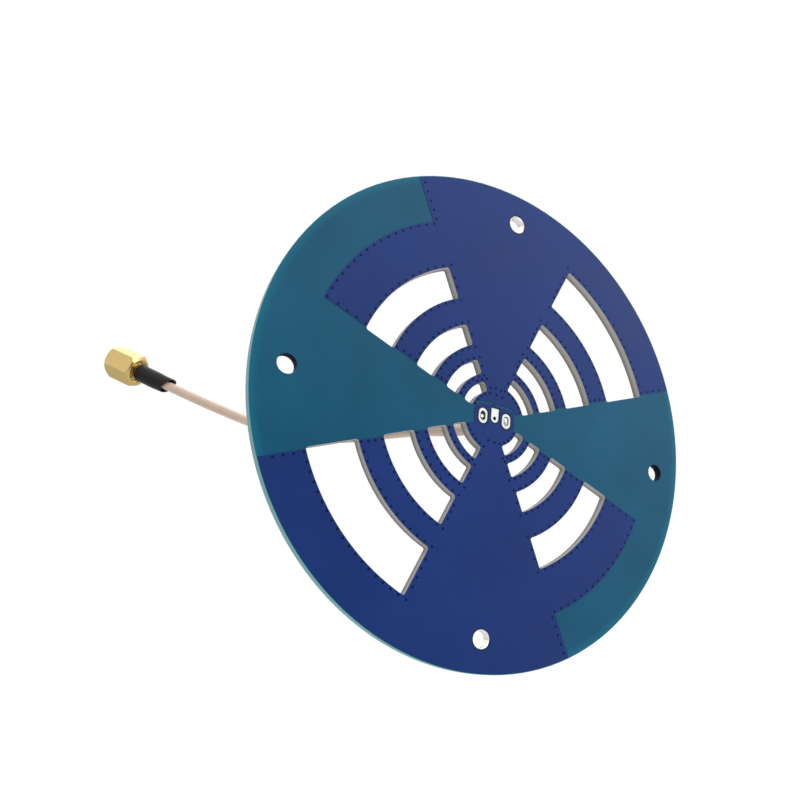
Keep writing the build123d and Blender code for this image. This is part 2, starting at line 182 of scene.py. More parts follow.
class ANTENNA_PG_cable(bpy.types.PropertyGroup):
    """Sizes of the coaxial cable and its plug."""

    diameter: length_setting("Diameter", "Outside of the cable", 0.0025)
    length: length_setting("Length", "From the braid at the board to the plug", 0.108)
    weave_pitch: length_setting("Weave pitch", "Of the braid below the jacket, along the cable", 0.0016)
    weave_pairs: IntProperty(name="Weave pairs", description="Braid bundles that run each way", default=8)
    thread_pitch: length_setting("Thread pitch", "Of the nut's inner thread", 0.000706)
    thread_depth: length_setting("Thread depth", "Of the nut's inner thread", 0.0003)
    thread_reaming: length_setting("Thread reaming", "Taken off the nut's bore before the thread", 0.000003)
    thread_radius: length_setting("Thread radius", "Inner radius of the nut's thread", 0.00279)
    thread_start: length_setting("Thread start", "From the end of the cable's jacket", 0.0109)
    thread_length: length_setting("Thread length", "Of the nut's inner thread", 0.0046)


class ANTENNA_PG_colours(bpy.types.PropertyGroup):
    """Base colours of the finishes."""

    mask: colour_setting("Mask", "Solder mask over bare board", (0.005, 0.08, 0.15))
    # painted light near the board's rim
    mask_lit_at_rim: colour_setting("Mask at rim", "Where light comes in from the edge", (0.004, 0.16, 0.23))
    masked_copper: colour_setting("Masked copper", "Solder mask over copper", (0.009, 0.031, 0.155))
    board_core: colour_setting("Board core", "Milled edge of the slots", (0.5, 0.48, 0.44))
    board_rim: colour_setting("Board rim", "Milled edge of the board", (0.27, 0.5, 0.52))
    pad_line: colour_setting("Pad line", "Dark line round a feed pad", (0.003, 0.008, 0.02))
    hole_line: colour_setting("Hole line", "Dark line round a plated hole", (0.003, 0.012, 0.03))
    stitch: colour_setting("Stitching", "Mask in a stitching hole", (0.002, 0.009, 0.055))
    # painted shade on the walls of the unplated mounting holes, which lie in shadow
    shaded_hole_wall: colour_setting("Hole wall", "Wall of the unplated mounting holes", (0.006, 0.01, 0.025))
    plating: colour_setting("Plating", "Wall of the plated mounting holes", (0.97, 0.97, 0.96))
    tin: colour_setting("Tin", "Tinned pads", (0.54, 0.58, 0.57))
    solder: colour_setting("Solder", "Solder joints", (0.42, 0.42, 0.41))
    flux: colour_setting("Flux", "Baked flux in the left-hand pad", (0.13, 0.035, 0.015))
    silver: colour_setting("Silver", "Silver-plated wires", (0.8, 0.78, 0.74))
    insulation: colour_setting("Insulation", "Round the centre conductor", (0.82, 0.82, 0.8))
    jacket: colour_setting("Jacket", "Outside of the cable", (0.78, 0.58, 0.44))
    shrink: colour_setting("Shrink tube", "Heat-shrink tube behind the plug", (0.014, 0.012, 0.013))
    gold: colour_setting("Gold", "Gold plating of the plug", (0.68, 0.5, 0.2))
    bronze: colour_setting("Bronze", "Spring ring in the nut", (0.62, 0.4, 0.2))
    insulator: colour_setting("Insulator", "Inside the plug", (0.84, 0.84, 0.82))
    gasket: colour_setting("Gasket", "Silicone ring in the nut", (0.3, 0.03, 0.015))


class ANTENNA_PG_stage(bpy.types.PropertyGroup):
    """The photo stage."""

    lens: number_setting("Lens", "Focal length in millimetres on a 36 mm sensor", 34.52)
    lens_shift: number_setting("Lens shift", "Upwards, as a share of the sensor", 0.1538)
    floor_drop: length_setting("Floor drop", "Depth of the floor below the board's centre", 0.16)
    floor_glow: number_setting("Floor glow", "Light of its own that the floor shows below the board", 0.3)
    key_power: number_setting("Key light", "Power of the light over the board", 3.0, unit="POWER")
    fill_power: number_setting("Fill light", "Power of the lights beside and behind", 2.0, unit="POWER")
    sky: number_setting("Sky", "Strength of the surroundings as a light", 0.55)


# Finishes


class NodeTree:
    """Short calls for the nodes of a material or of the surroundings."""

    def __init__(self, tree):
        self.nodes = tree.nodes
        self.links = tree.links

    def give(self, socket, value):
        """Sets a socket to a number, a direction or a colour, or links it to another node's socket."""
        if isinstance(value, bpy.types.NodeSocket):
            self.links.new(value, socket)
        elif socket.type == "RGBA":
            socket.default_value = (*value, 1)
        else:
            socket.default_value = value

    def add(self, kind, inputs=None, **settings):
        """A new node with its settings and with its inputs, each by its name or its number."""
        node = self.nodes.new("ShaderNode" + kind)
        for name, value in settings.items():
            setattr(node, name, value)
        for name, value in (inputs or {}).items():
            self.give(node.inputs[name], value)
        return node

    def calc(self, operation, first, second=0.0):
        """A sum on two numbers, of which the second is nought unless it is given."""
        return self.add("Math", {0: first, 1: second}, operation=operation).outputs["Value"]

    def spread(self, value, low, high, to_low=0.0, to_high=1.0):
        """A value that runs from low to high, made to run from to_low to to_high."""
        limits = {"From Min": low, "From Max": high, "To Min": to_low, "To Max": to_high}
        return self.add("MapRange", {"Value": value, **limits}).outputs["Result"]


class Finish(NodeTree):
    """A node material for one finish."""

    def __init__(self, name, colour, metallic=0.0, roughness=0.5):
        self.material = bpy.data.materials.new(name)
        self.material.use_nodes = True
        super().__init__(self.material.node_tree)
        self.nodes.clear()
        values = {"Base Color": colour, "Metallic": metallic, "Roughness": roughness}
        self.shader = self.add("BsdfPrincipled", values)
        self.output = self.add("OutputMaterial", {"Surface": self.shader.outputs["BSDF"]})
        self.place = self.add("TexCoord").outputs["Object"]

    def set(self, socket, value):
        """Sets or links an input of the finish's shader."""
        self.give(self.shader.inputs[socket], value)

    def flattened(self, axes):
        """The place, with nought along each axis that is marked with nought."""
        return self.add("Mapping", {"Vector": self.place, "Scale": axes}).outputs["Vector"]

    def parts(self, vector=None):
        """The X, Y and Z of a vector, or of the place."""
        return self.add("SeparateXYZ", {"Vector": self.place if vector is None else vector}).outputs

    def measured(self, operation, first, second=(0, 0, 0)):
        """The length of a vector, or what one number says of two vectors."""
        return self.add("VectorMath", {0: first, 1: second}, operation=operation).outputs["Value"]

    def noise(self, scale, detail):
        return self.add("TexNoise", {"Vector": self.place, "Scale": scale, "Detail": detail}).outputs["Fac"]

    def mix(self, factor, first, second):
        """A blend of two colours, whose sockets go by number because other sockets share their names."""
        return self.add("Mix", {0: factor, 6: first, 7: second}, data_type="RGBA").outputs[2]

    def mottled(self, colour, pattern, limits, shades):
        """A colour that runs between two shades of itself as a pattern runs between two limits."""
        dark, light = (shade(colour, factor) for factor in shades)
        return self.mix(self.spread(pattern, *limits), dark, light)

    def bump(self, height, distance, strength):
        node = self.add("Bump", {"Height": height, "Distance": distance, "Strength": strength})
        self.set("Normal", node.outputs["Normal"])


def shade(colour, factor):
    """A colour made darker or lighter by a factor."""
    return tuple(channel * factor for channel in colour)


def glass_weave(finish):
    """Height of the woven glass cloth that shows faintly through the board's faces."""
    thread_pitch = 0.55 * MM
    parts = finish.parts()
    angles = [finish.calc("MULTIPLY", parts[axis], 2 * math.pi / thread_pitch) for axis in ("X", "Z")]
    waves = [finish.calc("SINE", angle) for angle in angles]
    return finish.spread(finish.calc("MULTIPLY", *waves), -1, 1)


def from_middle(finish, axes):
    """Distance from the origin, along the axes that are marked with one."""
    return finish.measured("LENGTH", finish.flattened(axes))


def facing_out(finish):
    """One on the board's two faces and nought on its edges."""
    normal = finish.add("NewGeometry").outputs["True Normal"]
    return finish.calc("GREATER_THAN", finish.calc("ABSOLUTE", finish.parts(normal)["Y"]), 0.8)


def close_to(finish, spots, reach):
    """One within reach of any of some places on the board's face, all through the board."""
    near = 0.0
    flat = finish.flattened((1, 0, 1))
    for spot in spots:
        apart = finish.measured("DISTANCE", flat, (spot.x, 0, spot.y))
        near = finish.calc("MAXIMUM", finish.calc("LESS_THAN", apart, reach), near)
    return near


def past_pads(finish, feed):
    """How far a point lies outside the nearest feed pad's outline, below zero inside one."""
    parts = finish.parts()
    across, up = finish.calc("ABSOLUTE", parts["X"]), parts["Z"]

    def past_round(x, z, radius):
        squares = finish.calc("ADD", finish.calc("MULTIPLY", x, x), finish.calc("MULTIPLY", z, z))
        return finish.calc("SUBTRACT", finish.calc("SQRT", squares), radius)

    straight = (feed.pad_height - feed.pad_width) / 2
    over = finish.calc("MAXIMUM", finish.calc("SUBTRACT", finish.calc("ABSOLUTE", up), straight))
    ground = past_round(finish.calc("SUBTRACT", across, feed.pad_pitch), over, feed.pad_width / 2)
    centre = past_round(across, finish.calc("MINIMUM", up), feed.centre_width / 2)
    centre = finish.calc("MAXIMUM", centre, finish.calc("SUBTRACT", up, feed.centre_top))
    return finish.calc("MINIMUM", ground, centre)


def lined(finish, colours, feed, face):
    """A mask's colour with the dark line that its openings leave round the feed pads."""
    inner, outer = 0.75 * feed.bare_line, 1.25 * feed.bare_line
    line = finish.spread(past_pads(finish, feed), inner, outer, 1, 0)
    return finish.mix(line, face, colours.pad_line)


def board_finish(colours, feed, pattern):
    """Satin mask on the board's faces, and milled glass cloth and resin round its edges."""
    finish = Finish("board_mask_and_core", colours.mask, roughness=0.34)
    finish.set("Specular IOR Level", MASK_SHINE)
    weave = glass_weave(finish)
    cloud = finish.noise(60, 4)
    radius = from_middle(finish, (1, 0, 1))
    tint = finish.calc("ADD", finish.calc("MULTIPLY", weave, 0.25), cloud)
    face = finish.mottled(colours.mask, tint, limits=(0.35, 0.95), shades=(0.84, 1.16))
    # painted light: the mask turns lighter near the rim, where light comes in through the board's edge
    lit_near_rim = finish.spread(radius, board_high.x - 1.6 * MM, board_high.x - 0.2 * MM, 0, 0.5)
    face = finish.mix(lit_near_rim, face, colours.mask_lit_at_rim)
    waves = {"Vector": finish.place, "Scale": 900, "Distortion": 3, "Detail": 2}
    layers = finish.add("TexWave", waves, bands_direction="Y").outputs["Fac"]
    core = finish.mix(layers, shade(colours.board_core, 0.8), shade(colours.board_core, 1.12))
    # painted shade: the milled edges darken towards the board's back, deeper in the slots and holes
    depth = finish.spread(finish.parts()["Y"], board_low.y, board_high.y)
    core = finish.mix(finish.spread(depth, 0.45, 0.8, 0, 0.6), core, shade(colours.board_core, 0.3))
    # painted shade: the walls of the unplated mounting holes lie in shadow and are painted dark
    bare = close_to(finish, hole_spots(pattern, BARE_HOLES), 2.4 * MM)
    core = finish.mix(bare, core, colours.shaded_hole_wall)
    rim = finish.mix(layers, shade(colours.board_rim, 0.85), shade(colours.board_rim, 1.1))
    at_rim = finish.calc("GREATER_THAN", radius, board_high.x - 0.4 * MM)
    edges = finish.mix(at_rim, core, rim)
    facing = facing_out(finish)
    finish.set("Base Color", finish.mix(facing, edges, lined(finish, colours, feed, face)))
    smoothness = finish.calc("ADD", facing, finish.calc("MULTIPLY", cloud, 0.3))
    finish.set("Roughness", finish.spread(smoothness, 0, 1.3, 0.7, 0.3))
    grain = finish.calc("ADD", finish.calc("MULTIPLY", weave, 0.5), finish.noise(900, 2))
    finish.bump(grain, distance=0.000012, strength=0.5)
    return finish.material


def masked_copper_finish(colours, feed, pattern):
    """The same mask over copper: bluer, with the faint ripple of brushed copper below."""
    finish = Finish("mask_over_copper", colours.masked_copper, roughness=0.3)
    finish.set("Specular IOR Level", MASK_SHINE)
    cloud = finish.noise(45, 5)
    fine = finish.noise(700, 2)
    tint = finish.calc("ADD", finish.calc("MULTIPLY", fine, 0.25), cloud)
    face = finish.mottled(colours.masked_copper, tint, limits=(0.35, 0.95), shades=(0.82, 1.2))
    # the mask also stops short of the plated holes
    ring = close_to(finish, hole_spots(pattern, PLATED_HOLES), pattern.hole_radius + feed.bare_line)
    ring = finish.calc("MULTIPLY", ring, 0.75)
    finish.set("Base Color", finish.mix(ring, lined(finish, colours, feed, face), colours.hole_line))
    finish.set("Roughness", finish.spread(cloud, 0.3, 0.7, 0.26, 0.38))
    grain = finish.calc("ADD", fine, finish.calc("MULTIPLY", glass_weave(finish), 0.3))
    finish.bump(grain, distance=0.00001, strength=0.5)
    return finish.material


def metal_finish(name, colour, roughness, grain, grain_height, feed=None):
    """A plated metal with fine grain and a few duller patches, and on pads painted shade that darkens their
    rounded-off edges.
    """
    finish = Finish(name, colour, metallic=1.0, roughness=roughness)
    patches = finish.noise(400, 3)
    tone = finish.mottled(colour, patches, limits=(0.35, 0.7), shades=(0.82, 1.08))
    if feed:
        # painted shade: the tin darkens where it rounds off at a pad's edge
        edge = finish.spread(past_pads(finish, feed), -feed.tin_edge_shade, 0, 0, 0.75)
        tone = finish.mix(edge, tone, shade(colour, 0.3))
    finish.set("Base Color", tone)
    finish.set("Roughness", finish.spread(patches, 0.3, 0.75, roughness * 0.8, roughness * 1.35))
    finish.bump(finish.noise(grain, 4), distance=grain_height, strength=0.6)
    return finish.material


def turned_metal_finish(name, colour, roughness):
    """A turned metal with the fine rings that a lathe leaves round the plug's axis."""
    finish = Finish(name, colour, metallic=1.0, roughness=roughness)
    along = finish.measured("DOT_PRODUCT", finish.place, plug_axis)
    rings = finish.add("TexNoise", {"W": along, "Scale": 9000, "Detail": 3}, noise_dimensions="1D")
    patches = finish.noise(500, 3)
    finish.set("Base Color", finish.mottled(colour, patches, limits=(0.3, 0.7), shades=(0.95, 1.04)))
    finish.set("Roughness", finish.spread(patches, 0.3, 0.7, roughness * 0.8, roughness * 1.4))
    grain = finish.calc("ADD", rings.outputs["Fac"], finish.calc("MULTIPLY", finish.noise(2500, 3), 0.4))
    finish.bump(grain, distance=0.00001, strength=0.3)
    return finish.material


def plastic_finish(name, colour, roughness, grain, grain_height, coat=0.0, inner=0.0, shine=0.5):
    """A plastic or rubber with slight mottling, and light let in where inner is above nought."""
    finish = Finish(name, colour, roughness=roughness)
    finish.set("Coat Weight", coat)
    finish.set("Coat Roughness", roughness * 0.5)
    finish.set("Specular IOR Level", shine)
    if inner:
        finish.set("Subsurface Weight", inner)
        finish.set("Subsurface Radius", (0.0012, 0.0008, 0.0006))
        finish.set("Subsurface Scale", 1.0)
    mottle = finish.noise(grain / 6, 3)
    finish.set("Base Color", finish.mottled(colour, mottle, limits=(0.3, 0.7), shades=(0.86, 1.12)))
    finish.set("Roughness", finish.spread(mottle, 0.3, 0.75, roughness * 0.85, roughness * 1.2))
    finish.bump(finish.noise(grain, 4), distance=grain_height, strength=0.6)
    return finish.material


def jacket_finish(colours, cable):
    """A clear tan jacket with the woven braid below it showing through."""
    finish = Finish("clear_tan_jacket", colours.jacket, roughness=0.22)
    finish.set("Coat Weight", 0.5)
    finish.set("Coat Roughness", 0.12)
    parts = finish.parts(finish.add("TexCoord").outputs["UV"])
    along = finish.calc("MULTIPLY", parts["X"], 2 * math.pi * cable.length / cable.weave_pitch)
    around = finish.calc("MULTIPLY", parts["Y"], 2 * math.pi * cable.weave_pairs)
    ways = [finish.calc("SINE", finish.calc(way, along, around)) for way in ("ADD", "SUBTRACT")]
    weave = finish.spread(finish.calc("MULTIPLY", *ways), -1, 1)
    tint = finish.calc("ADD", finish.calc("MULTIPLY", weave, 0.5), finish.noise(350, 3))
    finish.set("Base Color", finish.mottled(colours.jacket, tint, limits=(0.4, 1.1), shades=(0.92, 1.06)))
    finish.bump(weave, distance=0.000003, strength=0.3)
    return finish.material


def coat_nodes(nodes, material):
    """Gives nodes that came with the frame a better material."""
    for node in nodes:
        slots = bpy.data.objects[node].material_slots
        if not slots:
            raise RuntimeError(f"{node} has no material slot")
        for slot in slots:
            slot.material = material


# Places


def plug_frame():
    """The plug's axis, and its place with the local Z axis on that axis, from the cable's last run."""
    end = Vector(cable_route[-1])
    along = (end - Vector(cable_route[-2])).normalized()
    side = Vector((0, 0, 1)).cross(along).normalized()
    turn = Matrix((side, along.cross(side), along)).transposed()
    return along, Matrix.Translation(end) @ turn.to_4x4()


plug_axis, plug_place = plug_frame()


def out_of_back(x, z, y=0.0):
    """A place on the board, with the local Z axis out of its back."""
    return Matrix.Translation((x, y, z)) @ Matrix.Rotation(-math.pi / 2, 4, "X")


def out_of_front(x, z, y=0.0):
    """A place on the board, with the local Z axis out of its front."""
    return Matrix.Translation((x, y, z)) @ Matrix.Rotation(math.pi / 2, 4, "X")


def polar(radius, angle):
    """A point on the board's face, from its distance and its angle."""
    return Vector((radius * math.cos(angle), radius * math.sin(angle)))


def hole_spots(pattern, angles):
    """Middles of mounting holes on the board's face, from their angles in degrees."""
    return [polar(pattern.hole_ring_radius, math.radians(angle)) for angle in angles]


def run_of_points(start, end, pitch):
    """Evenly spread points along a straight line."""
    steps = max(1, round((end - start).length / pitch))
    return [start.lerp(end, step / steps) for step in range(steps + 1)]


def arc_of_points(radius, start, end, pitch):
    """Evenly spread points along an arc."""
    steps = max(2, round(radius * abs(end - start) / pitch))
    return [polar(radius, start + (end - start) * step / steps) for step in range(steps + 1)]


def sided(places, left):
    """The places, or their mirror images on the left."""
    return [Vector((-place.x, place.y)) if left else place for place in places]


def stitch_places(pattern):
    """Places of the stitching holes of the upper wing, on the board's face."""
    edge = board_high.x
    gap_edge = pattern.tooth_share * edge
    tooth_edge = pattern.radius_ratio * edge
    inset = pattern.stitch_inset
    off_slot = pattern.slot_grow + inset
    tips, roots = pattern.teeth_start, pattern.teeth_end
    places = []
    for step in range(pattern.slots):
        shrink = pattern.radius_ratio**step
        pitch = pattern.stitch_pitch * pattern.stitch_ratio**step
        gap, tooth = gap_edge * shrink, tooth_edge * shrink
        for outer, inner, left in ((gap, tooth, False), (tooth, gap * pattern.radius_ratio, True)):
            tip = tips + inset / outer
            root = roots + off_slot / inner
            rows = arc_of_points(outer + off_slot, tip, root, pitch)
            rows += arc_of_points(inner - off_slot, tip, root, pitch)
            rows += run_of_points(polar(inner, root), polar(outer, root), pitch)[1:-1]
            places += sided(rows, left)
        # the tips of the two teeth outside this slot
        for outer, inner, left in ((gap / pattern.tooth_share, gap, False), (gap, tooth, True)):
            low = polar(inner + off_slot, tips + inset / inner)
            high = polar(outer - off_slot, tips + inset / outer)
            places += sided(run_of_points(low, high, pitch)[1:-1], left)
    # the long row round the back of the outermost tooth on the left, and up its root to the rim
    pitch = pattern.stitch_pitch
    start = math.pi - roots
    rim_row = arc_of_points(gap_edge - inset, start, math.pi - tips - inset / gap_edge, pitch)
    sideways = polar(2 * inset, start - math.pi / 2)
    low, high = polar(gap_edge + inset, start), polar(edge - 3 * inset, start)
    return places + rim_row + run_of_points(low + sideways, high + sideways, pitch)


def feed_places(pattern):
    """Places of the stitching holes close to the feed, on the board's face."""
    return [
        polar(pattern.feed_row_radius * share, math.radians(start + (end - start) * step / (count - 1)))
        for share, start, end, count in FEED_ROWS
        for step in range(count)
    ]


def well_apart(places, distance):
    """The places that stand clear of all places before them."""
    kept = []
    for place in places:
        if all((place - other).length > distance for other in kept):
            kept.append(place)
    return kept


# Modelling


def active():
    """The object that operators act on."""
    return bpy.context.view_layer.objects.active


def deselect_all():
    """Leaves nothing selected, in object mode."""
    if bpy.context.mode != "OBJECT":
        bpy.ops.object.mode_set(mode="OBJECT")
    bpy.ops.object.select_all(action="DESELECT")


def activate(*pieces):
    """Selects the pieces alone and makes the first one the active object."""
    deselect_all()
    for piece in pieces:
        piece.select_set(True)
    bpy.context.view_layer.objects.active = pieces[0]


def apply_modifier(kind, **settings):
    """Adds a modifier to the active object, sets it up and applies it."""
    modifier = active().modifiers.new(kind.lower(), kind)
    for name, value in settings.items():
        setattr(modifier, name, value)
    bpy.ops.object.modifier_apply(modifier=modifier.name)


def edit_all():
    """Opens the active object in edit mode with all of it selected."""
    bpy.ops.object.mode_set(mode="EDIT")
    bpy.ops.mesh.select_all(action="SELECT")


def turn_outwards():
    """Turns the active object's faces outwards and leaves edit mode."""
    bpy.ops.mesh.select_all(action="SELECT")
    bpy.ops.mesh.normals_make_consistent(inside=False)
    bpy.ops.object.mode_set(mode="OBJECT")


def finished_piece(name, material, replaced=None, body="antenna", smooth=32, flat_faces=False):
    """The active object as a finished piece: placed by its mesh, named, coated and riding on a body."""
    piece = active()
    piece.name = name
    piece.data.name = name
    piece.data.materials.clear()
    piece.data.materials.append(material)
    piece.data.transform(piece.matrix_world)
    piece.matrix_world = Matrix.Identity(4)
    activate(piece)
    bpy.ops.object.shade_smooth_by_angle(angle=math.radians(smooth))
    if flat_faces:
        apply_modifier("WEIGHTED_NORMAL", keep_sharp=True)
    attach(piece, body)
    if replaced:
        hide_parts(replaced)


def eased_copy(node, width, segments):
    """A merged copy of a node that came with the frame, its edges rounded, as the active object."""
    source = bpy.data.objects[node]
    piece = bpy.data.objects.new(node + "_copy", source.data.copy())
    piece.matrix_world = source.matrix_world
    bpy.context.collection.objects.link(piece)
    activate(piece)
    edit_all()
    bpy.ops.mesh.remove_doubles(threshold=CAD_MERGE)
    bpy.ops.mesh.dissolve_limited(angle_limit=math.radians(0.5))
    bpy.ops.object.mode_set(mode="OBJECT")
    sharp = math.radians(35)
    apply_modifier("BEVEL", width=width, segments=segments, limit_method="ANGLE", angle_limit=sharp)


def softened(name, node, material, width, segments=2):
    """A copy of a CAD node with its edges rounded, in place of the node."""
    eased_copy(node, width, segments)
    finished_piece(name, material, replaced=node, flat_faces=True)


def join(pieces):
    """The pieces as one object, the active one."""
    activate(*pieces)
    bpy.ops.object.join()
    return active()


def copied(master, matrices):
    """One object out of a copy of the master at every matrix, as the active object."""
    copies = []
    for matrix in matrices:
        copy = bpy.data.objects.new(master.name + "_copy", master.data.copy())
        copy.matrix_world = matrix
        bpy.context.collection.objects.link(copy)
        copies.append(copy)
    bpy.data.objects.remove(master)
    return join(copies)


def new_spline(name, kind, dimensions, count):
    """A linked curve object with one spline of so many points, and the spline."""
    curve = bpy.data.curves.new(name, "CURVE")
    curve.dimensions = dimensions
    curve.use_fill_caps = True
    spline = curve.splines.new(kind)
    spline.points.add(count - 1)
    spline.order_u = 3
    spline.use_endpoint_u = True
    holder = bpy.data.objects.new(name, curve)
    bpy.context.collection.objects.link(holder)
    return holder, spline


def helix(radius, thickness, start, pitch, turns, steps, sides):
    """A rod wound about the Z axis, with closed ends, as the active object."""
    deselect_all()
    bpy.ops.mesh.primitive_circle_add(
        vertices=sides, radius=thickness, location=(radius, 0, start), rotation=(math.pi / 2, 0, 0)
    )
    bpy.ops.object.transform_apply(location=True, rotation=True, scale=True)
    whole = max(1, round(abs(turns)))
    apply_modifier(
        "SCREW",
        angle=2 * math.pi * turns / whole,
        screw_offset=pitch * abs(turns) / whole,
        iterations=whole,
        steps=steps,
        render_steps=steps,
    )
    edit_all()
    bpy.ops.mesh.remove_doubles(threshold=OWN_MERGE)
    bpy.ops.mesh.fill_holes(sides=sides)
    turn_outwards()
    return active()


def extrude_ring(rise, scale):
    """Extrudes what is selected along the local Z axis and scales it about that axis."""
    bpy.ops.mesh.extrude_region_move(TRANSFORM_OT_translate={"value": (0, 0, rise)})
    bpy.ops.transform.resize(value=(scale, scale, 1), center_override=(0, 0, 0))


def hole_filling(width, height, steps, x):
    """A filling of an upright oblong hole in a pad, grown ring by ring forwards from the board's back."""
    deselect_all()
    rings = [(share, distance * MM) for share, distance in steps]
    share, distance = rings[0]
    bpy.ops.mesh.primitive_circle_add(vertices=40, radius=width / 2 * share, fill_type="NGON")
    piece = active()
    for upper in (True, False):
        for part in (piece.data.polygons, piece.data.edges):
            part.foreach_set("select", [False] * len(part))
        for vertex in piece.data.vertices:
            vertex.select = abs(vertex.co.y) > 0.01 * width and (vertex.co.y > 0) == upper
        bpy.ops.object.mode_set(mode="EDIT")
        lift = (height - width) / 2 * share * (1 if upper else -1)
        bpy.ops.transform.translate(value=(0, lift, 0))
        bpy.ops.object.mode_set(mode="OBJECT")
    edit_all()
    bpy.ops.transform.translate(value=(0, 0, distance))
    for (share, distance), (next_share, next_distance) in zip(rings, rings[1:]):
        extrude_ring(next_distance - distance, next_share / share)
    turn_outwards()
    piece.matrix_world = out_of_front(x, 0)
    return piece


def turned(profile, matrix, steps=40):
    """A ring, turned about its own Z axis through points of (radius, distance), as the active object."""
    deselect_all()
    radius, height = profile[0]
    bpy.ops.mesh.primitive_circle_add(vertices=steps, radius=radius, location=(0, 0, height))
    bpy.ops.object.transform_apply(location=True, rotation=True, scale=True)
    edit_all()
    for (radius, height), (next_radius, next_height) in zip(profile, [*profile[1:], profile[0]]):
        extrude_ring(next_height - height, next_radius / radius)
    bpy.ops.mesh.select_all(action="SELECT")
    bpy.ops.mesh.remove_doubles(threshold=OWN_MERGE)
    turn_outwards()
    piece = active()
    piece.matrix_world = matrix
    return piece


def turned_solder(profile, x, steps=40):
    """Round solder behind the board, from a profile in millimetres."""
    return turned([(radius * MM, height * MM) for radius, height in profile], out_of_back(x, 0), steps)


# Operators


class ANTENNA_OT_stitching(bpy.types.Operator):
    """Adds the small masked holes that stitch the front and back copper along its edges"""

    bl_idname = "antenna.add_stitching"
    bl_label = "Stitching holes"

    def execute(self, context):
        pattern, colours = context.scene.antenna_pattern, context.scene.antenna_colours
        radius = pattern.stitch_radius
        deselect_all()
        bpy.ops.mesh.primitive_circle_add(vertices=12, radius=radius, fill_type="NGON")
        edit_all()
        bpy.ops.mesh.inset(thickness=radius * 0.25, depth=0.000012)
        bpy.ops.mesh.inset(thickness=radius * 0.3, depth=-0.000006)
        bpy.ops.object.mode_set(mode="OBJECT")
        dimple = active()
        wing = stitch_places(pattern)
        places = wing + [-place for place in wing] + feed_places(pattern)
        places = well_apart(places, 3 * radius)
        mask = pattern.mask_height
        front = [out_of_front(place.x, place.y, board_low.y - mask) for place in places]
        back = [out_of_back(place.x, place.y, board_high.y + mask) for place in places]
        copied(dimple, front + back)
        dark = plastic_finish(
            "mask_in_hole", colours.stitch, 0.4, grain=3000, grain_height=0.000004, shine=MASK_SHINE / 2
        )
        finished_piece("stitching_holes", dark)
        return {"FINISHED"}


class ANTENNA_OT_linings(bpy.types.Operator):
    """Adds the bright plating inside the upper and the lower mounting hole"""

    bl_idname = "antenna.line_holes"
    bl_label = "Plated mounting holes"

    def execute(self, context):
        pattern, colours = context.scene.antenna_pattern, context.scene.antenna_colours
        clearance = 0.000002
        outer, inner = pattern.hole_radius - clearance, pattern.hole_radius - pattern.plating
        low, high = board_low.y - pattern.mask_height, board_high.y + pattern.mask_height
        round_edge = pattern.plating * 0.5
        profile = [
            (outer, low),
            (inner + round_edge, low - round_edge),
            (inner, low + round_edge),
            (inner, high - round_edge),
            (inner + round_edge, high + round_edge),
            (outer, high),
        ]
        lining = turned(profile, Matrix.Identity(4), steps=56)
        copied(lining, [out_of_back(spot.x, spot.y) for spot in hole_spots(pattern, PLATED_HOLES)])
        tin = metal_finish("bright_plating", colours.plating, 0.2, grain=3000, grain_height=0.000004)
        finished_piece("plated_hole_linings", tin)
        return {"FINISHED"}


class ANTENNA_OT_board(bpy.types.Operator):
    """Coats the board and its copper and tins the feed pads"""

    bl_idname = "antenna.coat_board"
    bl_label = "Board and feed pads"

    def execute(self, context):
        colours, pattern = context.scene.antenna_colours, context.scene.antenna_pattern
        feed = context.scene.antenna_feed
        board = board_finish(colours, feed, pattern)
        softened("milled_board", "board_laminate", board, width=0.00006)
        coat_nodes(COPPER_NODES, masked_copper_finish(colours, feed, pattern))
        tin = metal_finish("tinned_copper", colours.tin, 0.55, grain=3000, grain_height=0.00001, feed=feed)
        for node in PAD_NODES:
            softened("tinned_" + node, node, tin, width=0.00003)
        return {"FINISHED"}


